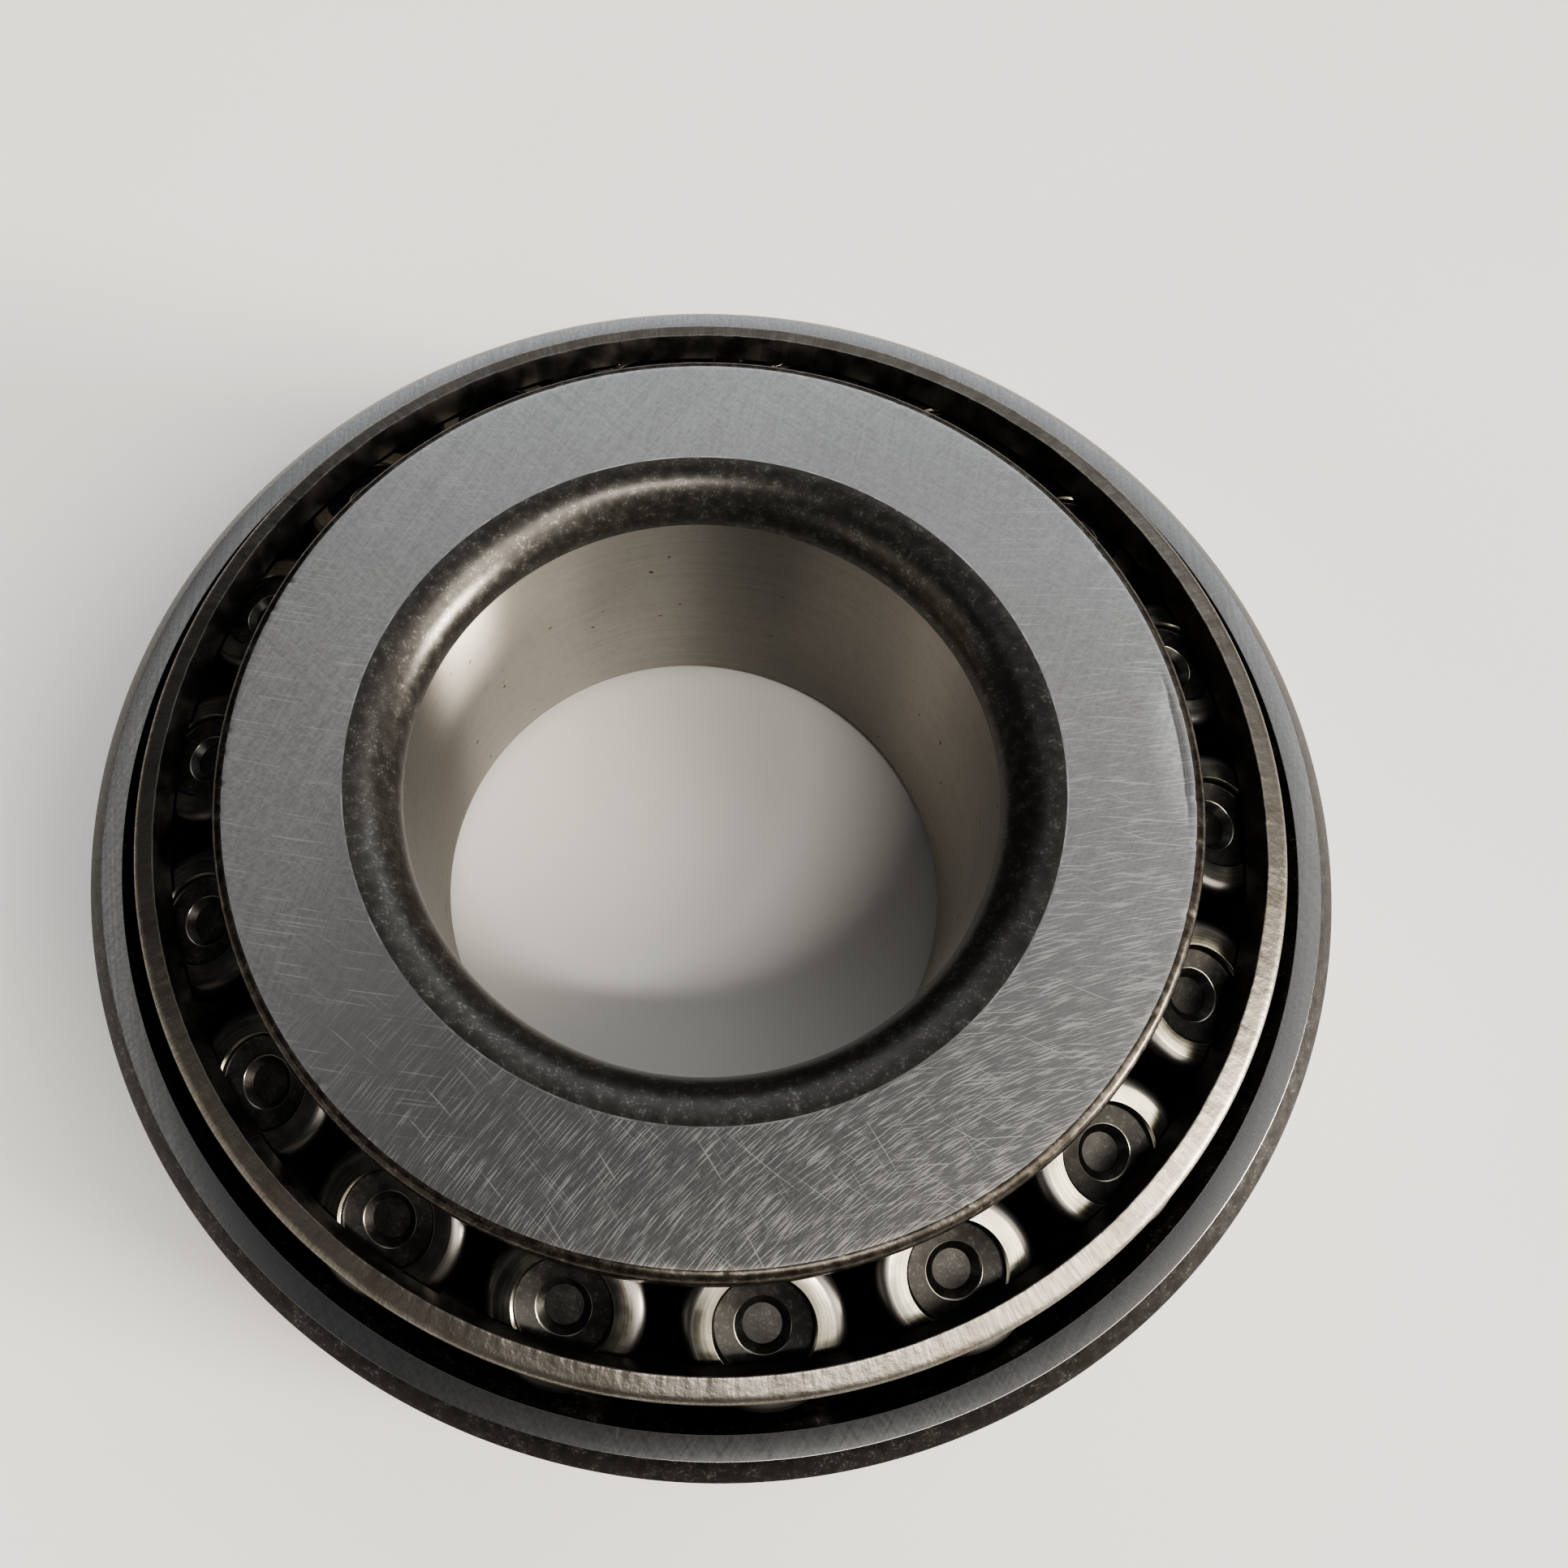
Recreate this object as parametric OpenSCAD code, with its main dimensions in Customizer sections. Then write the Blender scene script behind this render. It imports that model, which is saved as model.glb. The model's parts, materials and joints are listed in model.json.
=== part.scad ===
// Tapered roller bearing, single row, with a pressed steel cage.
//
// +Z is the bearing axis and the origin is on it, in the plane of the outer ring's back face.
// The raceways, the rollers and the cage wall are cones that share one apex, far below on the axis,
// so the rollers roll without sliding. The inner ring's wide back face looks up, along +Z.

/* [Envelope] */
// Diameter of the bore that takes the shaft
bore_d = 44.45; // [43.8:0.01:45.1]
// Outside diameter of the outer ring
outer_d = 95.25; // [95:0.01:97]
// Width of the outer ring
outer_w = 23.02; // [22.9:0.01:23.3]
// Width of the inner ring
inner_w = 29.37; // [29:0.01:29.8]
// Height from the outer ring's back face to the inner ring's back face
total_h = 30.162; // [30:0.001:30.4]

/* [Rollers] */
// Number of rollers
roller_count = 18; // [15:1:18]
// Length of a roller along its own axis
roller_len = 21; // [19:0.1:21.4]
// Radius of a roller at its large end
roller_r = 5.58; // [5.4:0.01:5.6]
// Tilt of a roller's axis from the bearing axis, in degrees
roller_tilt = 17.5; // [17:0.1:18]
// Distance from the bearing axis to the centre of a roller's large end
pitch_r = 38.43; // [38.3:0.01:38.5]
// Height of the centre of a roller's large end
pitch_z = 24.76; // [24.6:0.01:24.9]
// Radius of the rounded edge at both ends of a roller
roller_corner_r = 0.85; // [0.7:0.05:0.9]
// Radius of the recess in a roller's large end
recess_r = 3.33; // [2.8:0.01:3.6]
// Depth of that recess at its rim
recess_depth = 0.6; // [0.3:0.05:1]

/* [Rings] */
// Radius of the corner between the inner ring's bore and its back face
bore_corner_r = 3.8; // [2:0.1:4]
// Radius of the large rib that guides the rollers
rib_r = 35.75; // [35.5:0.05:36.5]
// Radius of the corner between the large rib and the back face
rib_corner_r = 0.85; // [0.6:0.05:1.4]
// Radius of the small rib at the front of the inner ring
front_rib_r = 28.9; // [28.6:0.1:29]
// Radius of the outer corner at the outer ring's back face
cup_back_corner_r = 3.3; // [2:0.1:3.6]
// Chamfer of the outer corner at the outer ring's front face
cup_front_chamfer = 1.35; // [0.8:0.05:1.5]
// Chamfer where the outer raceway meets the front face
cup_front_bevel = 1.45; // [0.5:0.05:1.6]
// Chamfer where the outer raceway meets the back face
cup_back_bevel = 0.9; // [0.5:0.05:1]

/* [Cage] */
// Thickness of the cage's sheet
sheet = 2; // [1.8:0.1:2.1]
// Distance from a roller's axis out to the inner side of the cage wall
wall_offset = 2.05; // [2:0.05:2.2]
// Length of cage wall that stands beyond the rollers' large ends
overhang = 2.5; // [2:0.1:2.8]
// Angle round a roller at which the sides of its window touch it, in degrees
window_angle = 36; // [34:1:38]
// Inside radius of the cage's turned-in flange
flange_r = 29.6; // [29.5:0.1:30]

/* [Clearances] */
// Running gap between the rollers and the raceways
running_gap = 0.03; // [0.02:0.01:0.06]
// Gap between the middle of a roller's large end and the large rib, a cone that nears it at the sides
rib_gap = 0.1; // [0.1:0.01:0.2]
// Gap between a roller and the sides of its cage window
window_gap = 0.12; // [0.08:0.01:0.2]
// Gap between a roller's end and the end of its cage window
window_end_gap = 0.2; // [0.15:0.05:0.3]

/* [Hidden] */

function two_digits(i) = i < 10 ? str("0", i) : str(i);
function roller_name(i) = str("roller_", two_digits(i));

$fn = 180;
small_fn = 64;
bore_r = bore_d / 2;
outer_r = outer_d / 2;
inner_front_z = total_h - inner_w;
roller_pitch_angle = 360 / roller_count;

// All the cones share one apex; these are its height and the roller's own half angle.
apex_distance = pitch_r / sin(roller_tilt);
apex_z = pitch_z - apex_distance * cos(roller_tilt);
roller_half_angle = atan(roller_r / apex_distance);
outer_race_angle = roller_tilt + roller_half_angle;
inner_race_angle = roller_tilt - roller_half_angle;
roller_small_r = roller_r - roller_len * tan(roller_half_angle);

// Radius of a raceway at a height, moved off the rollers by the running gap.
function outer_race_r(z) = (z - apex_z) * tan(outer_race_angle) + running_gap / cos(outer_race_angle);
function inner_race_r(z) = (z - apex_z) * tan(inner_race_angle) - running_gap / cos(inner_race_angle);

// Height, at a radius, of a face square to the roller's axis and a distance past its large end.
function end_face_z(r, along) = pitch_z + along / cos(roller_tilt) - (r - pitch_r) * tan(roller_tilt);

// Inner ring: where the raceway meets each rib face.
rib_face_along = rib_gap;
front_rib_along = -roller_len - 0.3;
function race_meets_face(along) =
    let (a = tan(inner_race_angle), b = tan(roller_tilt))
    let (r0 = inner_race_r(0), z0 = end_face_z(0, along))
    let (z = (z0 - r0 * b) / (1 + a * b))
    [inner_race_r(z), z];
race_top = race_meets_face(rib_face_along);
race_bottom = race_meets_face(front_rib_along);
relief_r = 0.35;
edge_bevel = 0.5;

// Cage section, in a roller's own frame: x outward from its axis, y past its large end.
flange_gap = 1.2;
flange_top = -roller_len - flange_gap;
flange_bottom = flange_top - sheet;
bend_inner_r = 0.5;
bend_outer_r = bend_inner_r + sheet;
reach = 20;

// The sliver outside an arc of radius r at the square corner p; into points into the material.
module corner_waste(p, r, into) {
    far = p + into * r;
    difference() {
        translate([min(p[0], far[0]), min(p[1], far[1])]) square(r);
        translate(far) circle(r, $fn = small_fn);
    }
}

// Moves 2D or 3D children from a roller's own frame into the section plane of the bearing.
module to_roller_section() {
    translate([pitch_r, pitch_z]) rotate(-roller_tilt) children();
}

// Moves 3D children from a roller's own frame (z along its axis, y outward) to roller i.
module to_roller(i) {
    rotate((i - 1) * roller_pitch_angle)
        translate([pitch_r, 0, pitch_z])
            rotate([0, roller_tilt, 0])
                rotate(-90)
                    children();
}

// ---- Outer ring: ground faces and raceway, a rounded back corner and a chamfered front one ----
module outer_ring_section() {
    front_bevel_r = outer_race_r(outer_w - cup_front_bevel);
    difference() {
        polygon([
            [outer_race_r(cup_back_bevel), cup_back_bevel],
            [outer_race_r(cup_back_bevel) + cup_back_bevel, 0],
            [outer_r, 0],
            [outer_r, outer_w - cup_front_chamfer],
            [outer_r - cup_front_chamfer, outer_w],
            [front_bevel_r + cup_front_bevel, outer_w],
            [front_bevel_r, outer_w - cup_front_bevel],
        ]);
        corner_waste([outer_r, 0], cup_back_corner_r, [-1, 1]);
    }
}

module outer_ring() {
    color("dimgray") rotate_extrude() outer_ring_section();
}

// ---- Inner ring: bore, raceway, large guiding rib and small front rib ----
module inner_ring_section() {
    rib_z = end_face_z(rib_r, rib_face_along);
    front_rib_z = end_face_z(front_rib_r, front_rib_along);
    difference() {
        polygon([
            [bore_r, inner_front_z + edge_bevel],
            [bore_r + edge_bevel, inner_front_z],
            [front_rib_r - edge_bevel, inner_front_z],
            [front_rib_r, inner_front_z + edge_bevel],
            [front_rib_r, front_rib_z],
            race_bottom,
            race_top,
            [rib_r, rib_z],
            [rib_r, total_h],
            [bore_r, total_h],
        ]);
        corner_waste([bore_r, total_h], bore_corner_r, [1, -1]);
        corner_waste([rib_r, total_h], rib_corner_r, [-1, -1]);
        translate(race_top) circle(relief_r, $fn = small_fn);
        translate(race_bottom) circle(relief_r, $fn = small_fn);
    }
}

module inner_ring() {
    color("gray") rotate_extrude() inner_ring_section();
}

// ---- Cage: a sheet cone with a turned-in flange and one window for each roller ----
module cage_section() {
    wall_out = wall_offset + sheet;
    difference() {
        to_roller_section() difference() {
            union() {
                translate([wall_offset, flange_bottom]) square([sheet, overhang - flange_bottom]);
                translate([wall_out - reach, flange_bottom]) square([reach, sheet]);
                corner_waste([wall_offset, flange_top], bend_inner_r, [-1, 1]);
            }
            corner_waste([wall_out, flange_bottom], bend_outer_r, [-1, 1]);
        }
        square([flange_r, total_h]);
    }
}

// One flat side of a window: everything on the roller's side of a plane tangent to its cone.
module window_side(angle) {
    rotate(angle)
        rotate([0, roller_half_angle, 0])
            translate([-reach, -reach, -2 * reach])
                cube([reach + roller_r * cos(roller_half_angle) + window_gap, 2 * reach, 3 * reach]);
}

module window() {
    inside = wall_offset - 1;
    outside = wall_offset + sheet + 1;
    intersection() {
        window_side(window_angle);
        window_side(180 - window_angle);
        translate([-reach, inside, -roller_len - window_end_gap])
            cube([2 * reach, outside - inside, roller_len + 2 * window_end_gap]);
    }
}

module cage() {
    color("silver") difference() {
        rotate_extrude() cage_section();
        for (i = [1:roller_count]) to_roller(i) window();
    }
}

// ---- Roller: a slim cone with a stepped recess in its large end ----
// Its section, with the end faces at y = 0 and y = -roller_len.
module roller_section() {
    dish_r = 0.57 * recess_r;
    pit_r = 0.4 * recess_r;
    dish_depth = recess_depth + 0.2;
    pit_depth = dish_depth + 0.5;
    dimple_r = 0.45 * roller_small_r;
    dimple_depth = 0.3;
    polygon(concat(
        [[0, -pit_depth], [pit_r, -pit_depth], [dish_r, -dish_depth], [recess_r, -recess_depth], [recess_r, 0]],
        rounded_edge([roller_r, 0], 90, -roller_half_angle),
        rounded_edge([roller_small_r, -roller_len], -roller_half_angle, -90),
        [[dimple_r, -roller_len], [dimple_r - dimple_depth, -roller_len + dimple_depth]],
        [[0, -roller_len + dimple_depth]]
    ));
}

// Points of the arc that rounds the corner p between faces whose normals point at two angles.
function rounded_edge(p, angle_a, angle_b) =
    let (half_turn = (angle_a - angle_b) / 2, middle = (angle_a + angle_b) / 2)
    let (centre = p - roller_corner_r / cos(half_turn) * [cos(middle), sin(middle)])
    [for (k = [0:5])
        let (a = angle_a + (angle_b - angle_a) * k / 5)
        centre + roller_corner_r * [cos(a), sin(a)]];

module roller(i) {
    color("lightgray") to_roller(i) rotate_extrude($fn = small_fn) roller_section();
}

outer_ring();
inner_ring();
cage();
for (i = [1:roller_count])
    roller(i);
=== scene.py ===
"""Looks for a single-row tapered roller bearing with a pressed steel cage.

Each CAD body is redrawn as a fine mesh of its own. The rings and rollers are turned from their
profiles, and the cage is a sheet cone with a real window for each roller. Profiles are in
millimetres, on the bearing axis; the meshes are in metres. All finishes are node materials.
"""

import json
import math
import random

import bpy
import numpy as np
from mathutils import Euler, Matrix, Vector


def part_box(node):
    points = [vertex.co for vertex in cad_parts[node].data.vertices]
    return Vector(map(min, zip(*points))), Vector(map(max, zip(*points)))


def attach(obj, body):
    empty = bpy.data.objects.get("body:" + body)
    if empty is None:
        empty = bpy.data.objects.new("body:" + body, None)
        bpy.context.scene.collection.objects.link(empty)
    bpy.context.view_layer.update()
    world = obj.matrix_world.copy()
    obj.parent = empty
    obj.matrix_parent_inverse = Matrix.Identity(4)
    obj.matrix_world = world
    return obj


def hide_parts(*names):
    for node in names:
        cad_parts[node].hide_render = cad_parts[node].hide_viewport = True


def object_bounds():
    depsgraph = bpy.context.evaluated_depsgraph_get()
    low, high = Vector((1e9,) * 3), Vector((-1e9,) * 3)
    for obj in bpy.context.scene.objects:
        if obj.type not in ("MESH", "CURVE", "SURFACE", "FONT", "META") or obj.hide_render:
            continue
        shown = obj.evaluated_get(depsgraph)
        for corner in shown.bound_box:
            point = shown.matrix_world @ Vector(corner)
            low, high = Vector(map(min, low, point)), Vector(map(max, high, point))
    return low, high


MM = 0.001
FULL_TURN = 2 * math.pi

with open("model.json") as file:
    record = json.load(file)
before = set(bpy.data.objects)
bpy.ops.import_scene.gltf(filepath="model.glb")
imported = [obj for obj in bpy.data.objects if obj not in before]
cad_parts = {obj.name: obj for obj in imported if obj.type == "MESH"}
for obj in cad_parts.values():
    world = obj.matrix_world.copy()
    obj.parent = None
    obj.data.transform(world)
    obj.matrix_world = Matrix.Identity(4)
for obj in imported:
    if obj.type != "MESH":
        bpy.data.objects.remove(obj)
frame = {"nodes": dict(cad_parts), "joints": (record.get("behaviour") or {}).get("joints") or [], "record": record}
cad_low, cad_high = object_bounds()
record = frame["record"]
joints = {joint["name"]: joint for joint in frame["joints"]}
mounts = {mount["name"]: mount for mount in record["mounts"]}
roller_names = sorted(name for name in frame["nodes"] if name.startswith("roller_"))


# ---- Sizes that the frame gives, in millimetres ----
def node_top(node):
    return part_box(node)[1].z / MM


def node_bottom(node):
    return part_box(node)[0].z / MM


def node_reach(node):
    """Largest distance from the bearing axis to a ring's own edge."""
    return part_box(node)[1].x / MM


bore_r = mounts["shaft_bore"]["dims"]["r_mm"]
outer_r = mounts["housing_seat"]["dims"]["r_mm"]
rib_r = node_reach("inner_ring")
inner_top = node_top("inner_ring")
inner_bottom = node_bottom("inner_ring")
outer_top = node_top("outer_ring")
outer_bottom = node_bottom("outer_ring")

# A roller's frame stands at the middle of its large end, with its axis pointing out of that end.
first_axis = Vector(joints["roller_01_spin"]["axis"])
first_end = Vector(joints["roller_01_spin"]["pos_m"]) / MM
tilt = math.acos(first_axis.z)
pitch_r = math.hypot(first_end.x, first_end.y)
pitch_z = first_end.z
pitch_angle = FULL_TURN / len(roller_names)
apex_distance = pitch_r / math.sin(tilt)
apex_z = pitch_z - apex_distance * math.cos(tilt)


def measured_roller():
    """The CAD roller's length, its flank's slope, and the inner and outer radius of its end face."""
    touching = 0.001
    points = np.array([v.co for v in frame["nodes"]["roller_01"].data.vertices], float) / MM
    offset = points - np.array(first_end)
    along = offset @ np.array(first_axis)
    radial = np.linalg.norm(offset - np.outer(along, np.array(first_axis)), axis=1)
    on_face = radial[along > -touching]
    return -along.min(), (radial / (apex_distance + along)).max(), on_face.min(), on_face.max()


roller_len, flank_slope, recess_r, end_face_r = measured_roller()
half_angle = math.atan(flank_slope)
roller_large_r = apex_distance * flank_slope
roller_small_r = roller_large_r - roller_len * math.tan(half_angle)
roller_corner_r = (roller_large_r - end_face_r) * math.tan(math.pi / 4 - half_angle / 2)
outer_race_slope = math.tan(tilt + half_angle)
inner_race_slope = math.tan(tilt - half_angle)

# ---- Sizes that the frame doesn't give, in millimetres ----
# Clearances
running_gap = 0.03
rib_gap = 0.1
front_rib_gap = 0.3

# Rollers: the large end has a forged recess, with a dish and a pit in its middle, inside a ground
# face that rises a little towards it. The small end has a small recess.
recess_depth = 0.6
recess_rim = 0.16
dish_r, dish_drop = 0.57 * recess_r, 0.2
pit_r, pit_drop = 0.4 * recess_r, 0.5
small_recess_r, small_recess_depth = 0.45 * roller_small_r, 0.3
end_rise = 0.012
pit_corner_r, dish_corner_r, recess_corner_r = 0.12, 0.2, 0.15
rim_foot_r, rim_edge_r, small_recess_corner_r = 0.05, 0.04, 0.1

# Inner ring
bore_corner_r = 3.8
worn_width = 0.12
rib_corner_r = 0.85
front_rib_r = 28.9
edge_bevel = 0.5
turned_edge_r = 0.1
undercut_r = 0.3
groove_r, groove_half_width, groove_depth = rib_r - 1.45, 0.12, 0.08
groove_from, groove_to, groove_fade = math.radians(-5), math.radians(16), math.radians(5)
nick_count, nick_depth, nick_reach, nick_angle = 26, 0.09, 0.35, 0.006

# Outer ring
cup_back_corner_r = 3.3
cup_front_chamfer = 1.35
cup_front_bevel = 1.45
cup_back_bevel = 0.9
race_edge_r = 0.15
chamfer_edge_r = 0.2
broken_edge_r = 0.07

# Cage: offsets are from the rollers' axis, and heights are from their large ends
sheet = 2.0
wall_offset = 2.05
wall_out = wall_offset + sheet
overhang = 2.5
flange_r = 29.6
flange_gap = 1.2
bend_r = 0.5
rim_outer_round = 0.75
rim_inner_round = 0.10
window_angle = math.radians(36)
window_gap = 0.12
window_end_gap = 0.2
window_top, window_bottom = window_end_gap, -roller_len - window_end_gap
tooth_height, wave_height, rim_drop, rim_band = 0.035, 0.03, 0.065, 0.3
torn_share = 0.55
waves_per_pitch = 5
fine_share, coarse_share = 0.5, 0.8

# Mesh fineness
ring_columns = 1080
roller_columns = 128
columns_in_window = 44
columns_in_bar = 36
columns_per_pitch = columns_in_window + columns_in_bar
cage_columns = columns_per_pitch * len(roller_names)
columns_per_coarse_tooth = 3
arc_steps_per_mm = 6
longest_strip = 2.5


def outer_race_r(z):
    return (z - apex_z) * outer_race_slope + running_gap / math.cos(tilt + half_angle)


def inner_race_r(z):
    return (z - apex_z) * inner_race_slope - running_gap / math.cos(tilt - half_angle)


def end_face_z(r, along):
    """Height, at a radius, of a face square to a roller's axis and a distance past its large end."""
    return pitch_z + along / math.cos(tilt) - (r - pitch_r) * math.tan(tilt)


def race_meets_face(along):
    """Where the inner raceway meets a face square to the rollers."""
    cone_r, face_z = inner_race_r(0), end_face_z(0, along)
    slope = math.tan(tilt)
    z = (face_z - cone_r * slope) / (1 + inner_race_slope * slope)
    return inner_race_r(z), z


def in_section(x, y):
    """Radius and height of a point in a roller's own frame: x out from its axis, y past its end."""
    return (
        pitch_r + x * math.cos(tilt) + y * math.sin(tilt),
        pitch_z - x * math.sin(tilt) + y * math.cos(tilt),
    )


# ---- Meshes turned from a profile ----
def rounded_profile(corners, fewest_steps=5):
    """A closed profile from (r, z, corner radius, zone of the corner, zone of the side after it).

    Returns the points, and for each the zone of the strip that leaves it."""
    points, zones = [], []
    count = len(corners)
    for i, (r, z, radius, corner_zone, side_zone) in enumerate(corners):
        here = Vector((r, z))
        before = (Vector(corners[i - 1][:2]) - here).normalized()
        after = (Vector(corners[(i + 1) % count][:2]) - here).normalized()
        if radius <= 0:
            points.append(tuple(here))
            zones.append(side_zone)
            continue
        half = math.acos(max(-1, min(1, before.dot(after)))) / 2
        centre = here + (before + after).normalized() * radius / math.sin(half)
        start = here + before * radius / math.tan(half) - centre
        end = here + after * radius / math.tan(half) - centre
        turn = start.angle_signed(end)
        steps = max(fewest_steps, round(radius * arc_steps_per_mm))
        for k in range(steps + 1):
            a = math.atan2(start.y, start.x) - turn * (k / steps)
            points.append((centre.x + radius * math.cos(a), centre.y + radius * math.sin(a)))
            zones.append(corner_zone if k < steps else side_zone)
    return points, zones


def split_long_sides(points, zones, longest):
    """The same profile with rows added, so that no strip is longer than this."""
    new_points, new_zones = [], []
    for i, (point, zone) in enumerate(zip(points, zones)):
        here, there = Vector(point), Vector(points[(i + 1) % len(points)])
        pieces = max(1, math.ceil((there - here).length / longest))
        for k in range(pieces):
            new_points.append(tuple(here.lerp(there, k / pieces)))
            new_zones.append(zone)
    return new_points, new_zones


def mesh_object(name, vertices, faces, face_zones, sharp_angle=28):
    """A smooth-shaded mesh object. Vertices are in millimetres; each face has its zone's finish."""
    mesh = bpy.data.meshes.new(name)
    mesh.from_pydata((np.asarray(vertices) * MM).tolist(), [], faces)
    zones = list(dict.fromkeys(face_zones))
    slots = list(dict.fromkeys(finishes[zone] for zone in zones))
    for material in slots:
        mesh.materials.append(material)
    index = {zone: slots.index(finishes[zone]) for zone in zones}
    mesh.polygons.foreach_set("material_index", [index[zone] for zone in face_zones])
    mesh.validate()
    mesh.shade_smooth()
    mesh.set_sharp_from_angle(angle=math.radians(sharp_angle))
    made = bpy.data.objects.new(name, mesh)
    bpy.context.scene.collection.objects.link(made)
    return made


def hand_in(made, node):
    """Puts a piece in a CAD node's place, on that node's body."""
    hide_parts(node)
    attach(made, node)


def turned(name, profile, columns, closed=True, shape=None):
    """A surface of revolution about Z. shape(radii, heights, angles), if given, dents the grid.

    An open profile starts and ends on the axis."""
    points, zones = profile
    rows = len(points)
    angles = np.arange(columns) * FULL_TURN / columns
    radii = np.repeat(np.array([p[0] for p in points])[:, None], columns, axis=1)
    heights = np.repeat(np.array([p[1] for p in points])[:, None], columns, axis=1)
    if shape:
        shape(radii, heights, angles)
    grid = np.stack([radii * np.cos(angles), radii * np.sin(angles), heights], axis=2)
    vertices = grid.reshape(-1, 3)
    faces, face_zones = [], []
    strips = rows if closed else rows - 1
    for row in range(strips):
        below, above = row * columns, ((row + 1) % rows) * columns
        for k in range(columns):
            following = (k + 1) % columns
            faces.append((below + k, below + following, above + following, above + k))
            face_zones.append(zones[row])
    if not closed:
        for row, zone, flip in ((0, zones[0], True), (rows - 1, zones[-1], False)):
            centre = len(vertices)
            vertices = np.vstack([vertices, [[0, 0, heights[row].mean()]]])
            for k in range(columns):
                rim = (row * columns + k, row * columns + (k + 1) % columns)
                faces.append((*(rim[::-1] if flip else rim), centre))
                face_zones.append(zone)
    return mesh_object(name, vertices, faces, face_zones)


def turned_away(angles, place):
    """How far each angle is from a place, from minus to plus half a turn."""
    return (angles - place + math.pi) % FULL_TURN - math.pi


def bump_along(angles, places, width):
    """A row of soft bumps of height 0 to 1: one at each (angle, height), this wide in radians."""
    total = np.zeros_like(angles)
    for place, height in places:
        total += height * np.exp(-((turned_away(angles, place) / width) ** 2))
    return total


def random_places(rng, count, smallest=0.3):
    return [(rng.uniform(0, FULL_TURN), rng.uniform(smallest, 1)) for _ in range(count)]


# ---- Finishes ----
class Nodes:
    """The node tree of a material or a world, with short calls for the commonest nodes."""

    def __init__(self, owner):
        owner.use_nodes = True
        self.nodes = owner.node_tree.nodes
        self.links = owner.node_tree.links
        self.nodes.clear()

    def node(self, kind, inputs=None, **settings):
        made = self.nodes.new(kind)
        for key, value in settings.items():
            setattr(made, key, value)
        for key, value in (inputs or {}).items():
            self.feed(made.inputs[key], value)
        return made

    def feed(self, socket, value):
        if isinstance(value, bpy.types.NodeSocket):
            self.links.new(value, socket)
        elif socket.type == "RGBA" and len(value) == 3:
            socket.default_value = (*value, 1)
        else:
            socket.default_value = value

    def math(self, operation, first, second=0.0, clamp=False):
        made = self.node("ShaderNodeMath", {0: first, 1: second}, operation=operation)
        made.use_clamp = clamp
        return made.outputs[0]

    def split(self, vector):
        return self.node("ShaderNodeSeparateXYZ", {0: vector}).outputs[:]

    def join(self, x=0.0, y=0.0, z=0.0):
        return self.node("ShaderNodeCombineXYZ", {0: x, 1: y, 2: z}).outputs[0]

    def along(self, vector, degrees):
        """How far a vector reaches in a level direction, given in degrees from +X."""
        a = math.radians(degrees)
        inputs = {0: vector, 1: (math.cos(a), math.sin(a), 0.0)}
        return self.node("ShaderNodeVectorMath", inputs, operation="DOT_PRODUCT").outputs["Value"]

    def scaled(self, vector, factor):
        inputs = {0: vector, 3: factor}
        return self.node("ShaderNodeVectorMath", inputs, operation="SCALE").outputs[0]

    def hypot(self, x, y):
        squares = self.math("ADD", self.math("MULTIPLY", x, x), self.math("MULTIPLY", y, y))
        return self.math("SQRT", squares)

    def shape(self, value, low, high, out_low=0.0, out_high=1.0):
        """Smooth ramp: out_low below low, out_high above high."""
        inputs = {0: value, 1: low, 2: high, 3: out_low, 4: out_high}
        return self.node("ShaderNodeMapRange", inputs, interpolation_type="SMOOTHSTEP").outputs[0]

    def mix_vectors(self, factor, first, second):
        """The vector sockets of a Mix node are inputs 4 and 5 and output 1."""
        inputs = {0: factor, 4: first, 5: second}
        return self.node("ShaderNodeMix", inputs, data_type="VECTOR").outputs[1]


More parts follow.
